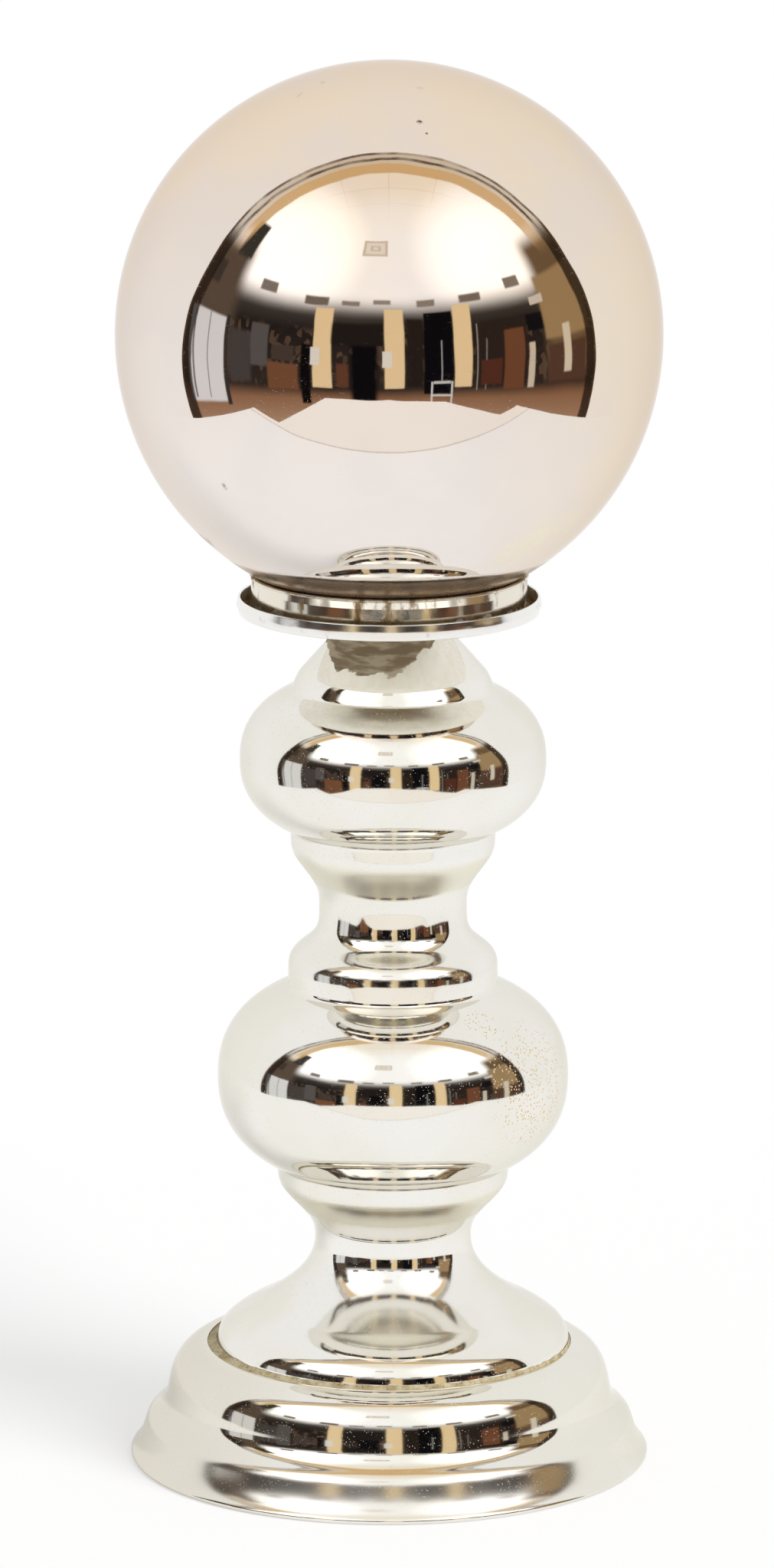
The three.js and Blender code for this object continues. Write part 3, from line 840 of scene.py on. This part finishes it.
def make_cup():
    """Its finish shades the upright wall as if it rolled in towards the bead."""
    low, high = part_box("collar_cup")
    d = COLLAR
    radius = (high.x - low.x) / 2 - d["bead"]
    inner = radius - d["cup_wall"]
    bead = []
    for t in [0, *shares(10)]:
        angle = math.pi * t
        bead.append((radius + d["bead"] * math.sin(angle), high.z - d["bead"] * (1 + math.cos(angle))))
    base = low.z + CUP_FLOOR
    hole = inner - d["cup_base"]
    walls = [(hole, low.z), (radius, low.z), *bead, (inner, high.z), (inner, base), (hole, base)]
    cup = lathe("cup", walls, closed=True)
    finish = plated(
        "tarnished_plate",
        srgb(236, 230, 216),
        srgb(150, 126, 92),
        0.54,
        srgb(122, 98, 60),
        low.z + 3.5 * MM,
        2.2 * MM,
        (low.z + high.z) / 2 + CUP_ROLL,
    )
    dress(cup, ("collar_cup",), "stand", finish)


# Putty

LUMP_SCALE = 210
CRUMB_SCALE = 700


def lumpy_ring(name, section):
    """A closed ring whose section, a list of radius, height and roughness, changes with the angle."""
    vertices, faces = [], []
    turns = 2 * TURNS
    for turn in range(turns):
        angle = 2 * math.pi * turn / turns
        for radius, height, rough in section(angle):
            place = Vector((radius * math.cos(angle), radius * math.sin(angle), height))
            lump = noise.noise(place * LUMP_SCALE) + 0.4 * noise.noise(place * CRUMB_SCALE)
            vertices.append((place.x, place.y, height + rough * lump))
    count = len(section(0.0))
    for turn in range(turns):
        here, after = turn * count, (turn + 1) % turns * count
        for k in range(count):
            k_after = (k + 1) % count
            faces.append((here + k, after + k, after + k_after, here + k_after))
    mesh = bpy.data.meshes.new(name)
    mesh.from_pydata(vertices, [], faces)
    mesh.validate()
    for polygon in mesh.polygons:
        polygon.use_smooth = True
    mesh.set_sharp_from_angle(angle=math.radians(60))
    piece = bpy.data.objects.new(name, mesh)
    bpy.context.scene.collection.objects.link(piece)
    return piece


PUTTY_STEPS = 8
BED_WIDTH = 7.2 * MM  # how far the bed of putty reaches inwards under the skirt
PUTTY_RISE = 1.5 * MM  # how far it creeps up the skirt


def make_stem_putty():
    """It fills the ring between the foot's lip and the skirt, which stands a little off the middle."""
    foot_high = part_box("foot_shell")[1]
    skirt_low, skirt_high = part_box(STEM_SECTIONS[0])
    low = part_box("stem_putty")[0]
    skirt_radius = (skirt_high.x - skirt_low.x) / 2 + 0.05 * MM
    offset = (skirt_high.x + skirt_low.x) / 2
    outer = FOOT["lip_radius"] - FOOT["lip_width"] - 0.1 * MM

    def section(angle):
        across = offset * math.sin(angle)
        inner = offset * math.cos(angle) + math.sqrt(skirt_radius**2 - across**2)
        points = [(outer, low.z, 0.0), (outer, foot_high.z - 0.6 * MM, 0.0)]
        for t in [0, *shares(PUTTY_STEPS)]:
            rise = (PUTTY_RISE + 0.3 * MM) * t**1.4
            points.append((outer + (inner - outer) * t, foot_high.z - 0.3 * MM + rise, 0.6 * MM))
        points.append((inner, skirt_low.z - 0.2 * MM, 0.0))
        points.append((inner - BED_WIDTH, skirt_low.z - 0.2 * MM, 0.0))
        points.append((inner - BED_WIDTH, low.z, 0.0))
        return points

    finish = crumbly("putty_finish", srgb(205, 192, 158), srgb(176, 158, 118), srgb(84, 70, 48), 160.0)
    dress(lumpy_ring("stem_putty_fill", section), ("stem_putty",), "stand", finish)


def make_cup_putty():
    low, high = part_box("cup_putty")
    outer = high.x
    inner = (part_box("collar_cup")[1].x - COLLAR["bead"]) + 0.05 * MM

    def section(angle):
        points = [(inner, low.z, 0.0)]
        for t in [0, *shares(PUTTY_STEPS)]:
            hollow = 1 - math.sin(math.pi / 2 * t)
            height = low.z + (high.z - low.z - 0.5 * MM) * (1 - math.cos(math.pi / 2 * t)) + 0.25 * MM
            points.append((inner + (outer - inner) * hollow, height, 0.4 * MM))
        return points

    finish = crumbly("old_putty_finish", srgb(150, 122, 74), srgb(104, 80, 46), srgb(48, 34, 20), 200.0)
    dress(lumpy_ring("cup_putty_fill", section), ("cup_putty",), "stand", finish)


# Hidden pieces


def finish_hidden():
    cork = crumbly("cork_finish", srgb(178, 140, 98), srgb(140, 104, 70), srgb(70, 48, 32), 180.0)
    cement = crumbly("cement_finish", srgb(160, 148, 124), srgb(128, 116, 94), srgb(66, 58, 44), 150.0)
    tube = plated(
        "tube_plate", srgb(190, 186, 176), srgb(140, 120, 90), 0.5, srgb(90, 70, 46), 0.0, 1 * MM
    )
    for node, material in (
        ("foot_stopper", cork),
        ("neck_stopper", cork),
        ("mouth_cement", cement),
        ("collar_tube", tube),
    ):
        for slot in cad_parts[node].material_slots:
            slot.material = material


# Stage and light

PAPER_FRONT = 0.72  # where the white paper ends, in front of the object
PAPER_LINE = 0.012  # the shadow along its edge
TABLE_SIDE = 1.25
# The corners of the table's front, from the left
TABLE_FRONT = ((-0.84, -0.78), (-0.84, -1.7), (0.0, -1.88), (0.68, -1.6), (0.96, -0.9))
FLOOR_BACK = 4.0
FLOOR_TURN = 0.5  # behind the object, where the narrow table widens to the sweep
SHADOW_VEIL = 0.45  # the share of plain white over the floor that the camera sees
SKY_SHARE = 0.62  # of the light on what isn't a mirror; the sun gives the rest
SUN_FROM = (0.62, -0.50, 0.60)  # from the right, in front and above
SUN_WIDTH = 34
NEAR_WHITE = 1.0  # the floor as the glass shows it, close to the object
MIRRORED_WHITE = 0.955  # the far floor and the horizon
REAR_WHITE = 0.94


def make_floor():
    material, s = new_material("floor_finish")
    place = s.position()
    grain = s.noise(place, 30.0, 2.0)
    depth = s.math("ADD", s.split(place)[1], s.math("MULTIPLY", grain, 0.01))
    bare = s.ease(depth, -PAPER_FRONT - PAPER_LINE, -PAPER_FRONT, 1.0, 0.0)
    edge = s.within(depth, -PAPER_FRONT - PAPER_LINE, -PAPER_FRONT, PAPER_LINE / 2)
    path = s.add("ShaderNodeLightPath").outputs
    away = s.add("ShaderNodeVectorMath", {0: place}, operation="LENGTH").outputs["Value"]
    white = s.ease(away, 0.2, 2.2, NEAR_WHITE, MIRRORED_WHITE)
    mirrored = s.add("ShaderNodeCombineColor", {0: white, 1: white, 2: white}).outputs[0]
    colour = s.mix(bare, mirrored, srgb(252, 247, 241))
    colour = s.mix(edge, colour, srgb(214, 203, 190))
    colour = s.mix(path["Is Glossy Ray"], (1, 1, 1, 1), colour)
    lit = s.add("ShaderNodeBsdfDiffuse", {"Color": colour})
    plain = s.mix(path["Is Glossy Ray"], (1, 1, 1, 1), mirrored)
    white = s.add("ShaderNodeEmission", {"Color": plain, "Strength": 1.0})
    seen = s.math("MAXIMUM", path["Is Camera Ray"], s.math("MULTIPLY", path["Is Glossy Ray"], 0.8))
    seen = s.math("MULTIPLY", seen, s.math("SUBTRACT", 1.0, s.math("MAXIMUM", bare, edge)))
    veil = s.math("MULTIPLY", seen, SHADOW_VEIL)
    shader = s.add("ShaderNodeMixShader", {0: veil, 1: lit.outputs[0], 2: white.outputs[0]})
    s.add("ShaderNodeOutputMaterial", {"Surface": shader.outputs[0]})
    mesh = bpy.data.meshes.new("floor")
    front = [(-TABLE_SIDE, TABLE_FRONT[0][1]), *TABLE_FRONT, (TABLE_SIDE, TABLE_FRONT[-1][1])]
    back = [(FLOOR_BACK, FLOOR_TURN), (FLOOR_BACK, FLOOR_BACK)]
    back += [(-x, y) for x, y in back[::-1]]
    corners = [*front, (TABLE_SIDE, FLOOR_TURN), *back, (-TABLE_SIDE, FLOOR_TURN)]
    mesh.from_pydata([(x, y, 0) for x, y in corners], [], [range(len(corners))])
    floor = bpy.data.objects.new("floor", mesh)
    floor.location.z = -0.1 * MM
    mesh.materials.append(material)
    bpy.context.scene.collection.objects.link(floor)


# The studio that the glass mirrors, as patches of the sky: left, right, bottom and top in degrees, where 0 is
# the way from the object to the camera and the horizon, then the colour and the softness of the edge
STUDIO_PATCHES = (
    ((70, 95, -10, 36), srgb(112, 90, 66), 4.0),
    ((-95, -70, -10, 34), srgb(92, 78, 66), 4.0),
    ((-70, -60, -12, 6), srgb(72, 66, 64), 1.2),
    ((-60, -52, -6, 10), srgb(88, 84, 82), 0.6),
    ((-52, -38, -14, -4), srgb(116, 78, 54), 0.6),
    ((-50, -40, -3, 3), srgb(70, 60, 54), 0.6),
    ((-37, -33, -19, 4), srgb(16, 13, 14), 0.6),
    ((-32, -24, -12.5, 19.5), srgb(234, 208, 164), 0.4),
    ((-33, -29, -4, 3), srgb(226, 222, 214), 0.3),
    ((-22, -17, -12, -3), srgb(98, 62, 46), 0.6),
    ((-16, -5, -20, 12), srgb(15, 13, 16), 1.5),
    ((-24, -2, 5, 14), srgb(34, 29, 27), 1.0),
    ((-2, 6, -12.5, 20), srgb(234, 208, 164), 0.4),
    ((-3, 1, -4, 3), srgb(226, 222, 214), 0.3),
    ((7, 14, -12, 16), srgb(40, 32, 28), 0.8),
    ((14.5, 27, -15, 18.5), srgb(14, 13, 16), 0.4),
    ((17.5, 18.3, -20, -10), srgb(206, 206, 204), 0.2),
    ((26, 26.8, -20, -10), srgb(206, 206, 204), 0.2),
    ((17.5, 26.8, -16, -15.2), srgb(206, 206, 204), 0.2),
    ((18.5, 25.8, -11, -9.8), srgb(196, 196, 196), 0.2),
    ((21.8, 22.4, -10, 7), srgb(150, 150, 150), 0.2),
    ((27.5, 35, -12.5, 20.5), srgb(234, 208, 164), 0.4),
    ((36, 60, -12, 12), srgb(46, 36, 32), 1.5),
    ((37, 37.6, -14, 12), srgb(140, 134, 128), 0.2),
    ((41, 41.6, -14, 6), srgb(120, 116, 112), 0.2),
    ((39, 48, -12, -2), srgb(84, 48, 36), 0.5),
    ((49, 58, -14, 8), srgb(112, 72, 50), 0.5),
    ((60, 63, -14, 2), srgb(206, 196, 178), 0.4),
    ((60, 69, 6, 12), srgb(22, 20, 24), 0.5),
    ((69, 92, 2, 24), srgb(160, 134, 98), 1.0),
    ((70, 90, -13, 0), srgb(86, 62, 50), 1.0),
    ((78, 82, -10, 6), srgb(214, 204, 186), 0.5),
    ((-92, -73, -19, 9), srgb(222, 222, 224), 0.6),
    ((-90, -89, -18, 8), srgb(120, 118, 120), 0.3),
    ((-82, -81.4, -18, 9), srgb(150, 148, 150), 0.2),
    ((-73, -71, -20, 10), srgb(58, 52, 50), 0.4),
    ((-80, -71, 30, 43), srgb(58, 56, 50), 0.8),
    ((-88, -82, 18, 26), srgb(66, 58, 52), 0.8),
    ((-60, -52, 22, 26), srgb(132, 122, 114), 0.5),
    ((-38, -27, 20.5, 24), srgb(118, 108, 100), 0.5),
    ((-21, -13, 21, 23), srgb(140, 130, 120), 0.5),
    ((-7, 1, 22, 24), srgb(150, 140, 130), 0.5),
    ((12, 20, 21, 23.5), srgb(140, 130, 120), 0.5),
    ((31, 41, 21, 24), srgb(122, 112, 104), 0.5),
    ((54, 62, 23, 27), srgb(136, 126, 118), 0.5),
    ((64, 71, 15, 18), srgb(210, 202, 192), 0.4),
    ((-14.5, -0.5, 42.0, 48.8), srgb(214, 204, 190), 0.3),
    ((-13, -2, 42.9, 47.9), srgb(240, 232, 222), 0.25),
    ((-10.5, -4.5, 44.2, 46.6), srgb(214, 204, 190), 0.2),
    ((-9, -6, 44.8, 46.0), srgb(240, 232, 222), 0.2),
)
CEILING_STOPS = (
    (-90, srgb(150, 124, 104)),
    (-26, srgb(170, 138, 112)),
    (-17, srgb(144, 106, 80)),
    (-13, srgb(52, 43, 38)),
    (10, srgb(36, 31, 29)),
    (18, srgb(70, 63, 58)),
    (22, srgb(150, 142, 136)),
    (26, srgb(226, 222, 218)),
    (31, srgb(252, 250, 247)),
    (42, srgb(255, 254, 251)),
    (62, srgb(255, 251, 244)),
    (76, srgb(252, 243, 230)),
)
# Azimuth, elevation, core and reach of each glow in degrees, then its brightness
GLOWS = ((0, 36, 10, 40, 1.07), (-53, 36, 9, 36, 1.5), (53, 36, 9, 36, 1.5))
ARCH_LINE = 0.03
ARCH_WIDER = 0.08  # how much further back the arch reaches near the floor
# How far in front of the arch its ochre band and its inner dark line are, as directions along the view
OCHRE_BAND = (-0.19, -0.10)
INNER_LINE = (-0.074, -0.050)
OUTER_LINE = -0.020
FRINGE = -0.085


def toward(azimuth, elevation):
    azimuth, elevation = math.radians(azimuth), math.radians(elevation)
    flat = math.cos(elevation)
    return Vector((flat * math.sin(azimuth), -flat * math.cos(azimuth), math.sin(elevation)))


def studio_colour(s):
    """What the glass mirrors: a white sweep behind, and a dark studio with a bright ceiling in front."""
    way = s.add("ShaderNodeTexCoord").outputs["Generated"]
    x, y, z = s.split(way)
    azimuth = s.math("DEGREES", s.math("ARCTAN2", x, s.math("MULTIPLY", y, -1.0)))
    elevation = s.math("DEGREES", s.math("ARCSINE", z))
    ramp = s.add("ShaderNodeValToRGB", {"Fac": s.math("DIVIDE", s.math("ADD", elevation, 90.0), 180.0)})
    stops = ramp.color_ramp.elements
    while len(stops) < len(CEILING_STOPS):
        stops.new(0.5)
    for stop, (degrees, colour) in zip(stops, CEILING_STOPS):
        stop.position = (degrees + 90) / 180
        stop.color = colour
    colour = ramp.outputs["Color"]
    height = s.math("MAXIMUM", z, 0.05)
    tiles = s.add(
        "ShaderNodeTexBrick",
        {
            "Vector": s.add(
                "ShaderNodeCombineXYZ", {"X": s.math("DIVIDE", x, height), "Y": s.math("DIVIDE", y, height)}
            ).outputs[0],
            "Color1": srgb(255, 255, 255),
            "Color2": srgb(251, 250, 248),
            "Mortar": srgb(240, 236, 231),
            "Scale": 3.4,
            "Mortar Size": 0.012,
            "Brick Width": 1.0,
            "Row Height": 0.5,
        },
        offset=0.0,
    )
    ceiling = s.ease(elevation, 24.0, 32.0)
    shaded = s.add("ShaderNodeMix", data_type="RGBA", blend_type="MULTIPLY")
    for value, index in ((ceiling, 0), (colour, 6), (tiles.outputs["Color"], 7)):
        s.put(value, shaded.inputs[index])
    colour = shaded.outputs[2]
    crates = s.stretched(way, (1.0, 1.0, 0.6))
    clutter = s.add("ShaderNodeTexVoronoi", {"Vector": crates, "Scale": 30.0}).outputs["Color"]
    clutter = s.add("ShaderNodeSeparateColor", {"Color": clutter}).outputs[0]
    busy = s.math("MULTIPLY", s.within(elevation, -12.0, 10.0, 2.0), s.ease(clutter, 0.66, 0.86))
    colour = s.mix(s.math("MULTIPLY", busy, 0.45), colour, srgb(116, 92, 74))
    for azimuth_of, elevation_of, core, reach, strength in GLOWS:
        lamp = toward(azimuth_of, elevation_of)
        nearness = s.add("ShaderNodeVectorMath", {0: way, 1: lamp}, operation="DOT_PRODUCT").outputs["Value"]
        full, none = math.cos(math.radians(core)), math.cos(math.radians(reach))
        share = s.math("MULTIPLY", s.ease(nearness, none, full), s.ease(elevation, 15.0, 27.0))
        colour = s.mix(share, colour, (strength, strength, strength, 1))
    for (left, right, bottom, top), patch, soft in STUDIO_PATCHES:
        across = s.within(azimuth, left, right, soft)
        share = s.math("MULTIPLY", across, s.within(elevation, bottom, top, soft))
        colour = s.mix(share, colour, patch)
    above = s.ease(elevation, 28.0, 42.0)
    ragged = s.math("MULTIPLY", s.math("SUBTRACT", s.noise(way, 6.0, 3.0), 0.5), 0.03)
    outline = s.math("ADD", s.ease(elevation, -10.0, 30.0, ARCH_WIDER, 0.0), ARCH_LINE)
    y = s.math("SUBTRACT", y, outline)
    edge = s.math("ADD", y, ragged)
    frame_side = s.math("MULTIPLY", above, s.within(edge, OCHRE_BAND[1], OUTER_LINE, 0.008))
    colour = s.mix(s.math("MULTIPLY", frame_side, 0.7), colour, srgb(200, 188, 170))
    ochre = s.math("MULTIPLY", above, s.within(edge, *OCHRE_BAND, 0.008))
    colour = s.mix(s.math("MULTIPLY", ochre, 0.9), colour, srgb(214, 178, 122))
    fringe = s.math("MULTIPLY", s.math("SUBTRACT", 1.0, above), s.ease(edge, FRINGE - 0.02, FRINGE))
    colour = s.mix(s.math("MULTIPLY", fringe, 0.9), colour, srgb(44, 34, 27))
    inner = s.math("MULTIPLY", s.within(edge, *INNER_LINE, 0.004), above)
    line = s.math("MAXIMUM", inner, s.ease(y, OUTER_LINE - 0.004, OUTER_LINE))
    line = s.math("MULTIPLY", line, s.ease(elevation, -30.0, -10.0))
    line = s.math("MULTIPLY", line, s.ease(s.noise(way, 5.0), 0.36, 0.6, 0.5, 1.0))
    colour = s.mix(s.math("MULTIPLY", line, 0.9), colour, srgb(78, 60, 43))
    white = s.ease(elevation, 0.0, 45.0, MIRRORED_WHITE, REAR_WHITE)
    rear = s.add("ShaderNodeCombineColor", {0: white, 1: white, 2: white}).outputs[0]
    return s.mix(s.ease(y, -0.004, 0.004), colour, rear)


def make_world():
    world = bpy.data.worlds.new("studio")
    bpy.context.scene.world = world
    s = Shader(world)
    path = s.add("ShaderNodeLightPath").outputs
    sky = s.math("ADD", s.math("MULTIPLY", path["Is Camera Ray"], 1 - SKY_SHARE), SKY_SHARE)
    plain = s.add("ShaderNodeCombineColor", {0: sky, 1: sky, 2: sky}).outputs[0]
    colour = s.mix(path["Is Glossy Ray"], plain, studio_colour(s))
    background = s.add("ShaderNodeBackground", {"Color": colour, "Strength": 1.0})
    s.add("ShaderNodeOutputWorld", {"Surface": background.outputs[0]})


def make_sun():
    data = bpy.data.lights.new("sun", "SUN")
    data.angle = math.radians(SUN_WIDTH)
    way = Vector(SUN_FROM).normalized()
    data.energy = (1 - SKY_SHARE) * math.pi / way.z
    sun = bpy.data.objects.new("sun", data)
    sun.rotation_euler = way.to_track_quat("Z", "Y").to_euler()
    sun.visible_glossy = False
    bpy.context.scene.collection.objects.link(sun)


def set_view():
    scene = bpy.context.scene
    scene.view_settings.view_transform = "Standard"


make_camera()
silver = make_silver(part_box(STEM_SECTIONS[-1])[1].z - STEM["mouth"])
make_ball()
make_stem(silver)
make_foot(silver)
make_dish()
make_cup()
make_stem_putty()
make_cup_putty()
finish_hidden()
make_floor()
make_world()
make_sun()
set_view()
